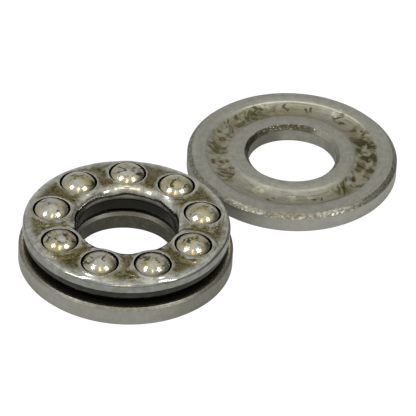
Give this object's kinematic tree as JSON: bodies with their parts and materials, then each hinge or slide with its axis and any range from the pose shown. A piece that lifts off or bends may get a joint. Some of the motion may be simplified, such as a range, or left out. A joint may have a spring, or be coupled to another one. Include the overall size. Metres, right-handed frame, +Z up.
{
  "type": "thrust ball bearing",
  "caption": "Single-direction thrust ball bearing, opened: housing washer carrying a pressed cage of balls, with the shaft washer lying beside it.",
  "frame": {"origin": "bottom of the open layout, midway between the bearing's axis and the loose washer's axis", "axes": "+X from the bearing's axis to the loose washer's axis, +Z up along both axes"},
  "size_m": [0.05, 0.024, 0.0066],
  "materials": {
    "ground_steel": "hardened and ground bearing steel, matte grey with faint turned lines and worn bright edges",
    "pressed_steel": "satin pressed steel sheet with an oily brown film between the pockets",
    "polished_steel": "polished bearing steel balls with a thin oil film"
  },
  "bodies": {
    "cage": {"cage_upper_shell": "pressed_steel", "cage_lower_shell": "pressed_steel"},
    "lower_washer": {"lower_washer": "ground_steel"},
    "upper_washer": {"upper_washer": "ground_steel"},
    "ball_1": {"ball_1": "polished_steel"},
    "ball_2": {"ball_2": "polished_steel"},
    "ball_3": {"ball_3": "polished_steel"},
    "ball_4": {"ball_4": "polished_steel"},
    "ball_5": {"ball_5": "polished_steel"},
    "ball_6": {"ball_6": "polished_steel"},
    "ball_7": {"ball_7": "polished_steel"},
    "ball_8": {"ball_8": "polished_steel"},
    "ball_9": {"ball_9": "polished_steel"}
  },
  "joints": [
    {"name": "lower_washer_spin", "type": "hinge", "parent": "cage", "child": "lower_washer", "pos_m": [-0.013, 0, 0], "axis": [0, 0, 1], "continuous": true},
    {"name": "ball_1_roll", "type": "hinge", "parent": "cage", "child": "ball_1", "pos_m": [-0.00715, 0.00617, 0.00425], "axis": [0.6884, 0.7254, 0], "continuous": true},
    {"name": "ball_2_roll", "type": "hinge", "parent": "cage", "child": "ball_2", "pos_m": [-0.01248, 0.00848, 0.00425], "axis": [0.061, 0.9981, 0], "continuous": true},
    {"name": "ball_3_roll", "type": "hinge", "parent": "cage", "child": "ball_3", "pos_m": [-0.01806, 0.00683, 0.00425], "axis": [-0.5948, 0.8039, 0], "continuous": true},
    {"name": "ball_4_roll", "type": "hinge", "parent": "cage", "child": "ball_4", "pos_m": [-0.02127, 0.00198, 0.00425], "axis": [-0.9724, 0.2334, 0], "continuous": true},
    {"name": "ball_5_roll", "type": "hinge", "parent": "cage", "child": "ball_5", "pos_m": [-0.02061, -0.00379, 0.00425], "axis": [-0.8949, -0.4462, 0], "continuous": true},
    {"name": "ball_6_roll", "type": "hinge", "parent": "cage", "child": "ball_6", "pos_m": [-0.01639, -0.0078, 0.00425], "axis": [-0.3987, -0.9171, 0], "continuous": true},
    {"name": "ball_7_roll", "type": "hinge", "parent": "cage", "child": "ball_7", "pos_m": [-0.01059, -0.00815, 0.00425], "axis": [0.284, -0.9588, 0], "continuous": true},
    {"name": "ball_8_roll", "type": "hinge", "parent": "cage", "child": "ball_8", "pos_m": [-0.00591, -0.00469, 0.00425], "axis": [0.8339, -0.5519, 0], "continuous": true},
    {"name": "ball_9_roll", "type": "hinge", "parent": "cage", "child": "ball_9", "pos_m": [-0.00455, 0.00096, 0.00425], "axis": [0.9936, 0.1132, 0], "continuous": true},
    {"name": "upper_washer_turnover", "type": "hinge", "parent": "cage", "child": "upper_washer", "pos_m": [0, 0, 0.00425], "axis": [0, -1, 0], "range_deg": [0, 180]}
  ],
  "couplings": [
    {"joint": "ball_1_roll", "follows": "lower_washer_spin", "ratio": 3.5699},
    {"joint": "ball_2_roll", "follows": "lower_washer_spin", "ratio": 3.5699},
    {"joint": "ball_3_roll", "follows": "lower_washer_spin", "ratio": 3.5699},
    {"joint": "ball_4_roll", "follows": "lower_washer_spin", "ratio": 3.5699},
    {"joint": "ball_5_roll", "follows": "lower_washer_spin", "ratio": 3.5699},
    {"joint": "ball_6_roll", "follows": "lower_washer_spin", "ratio": 3.5699},
    {"joint": "ball_7_roll", "follows": "lower_washer_spin", "ratio": 3.5699},
    {"joint": "ball_8_roll", "follows": "lower_washer_spin", "ratio": 3.5699},
    {"joint": "ball_9_roll", "follows": "lower_washer_spin", "ratio": 3.5699}
  ]
}
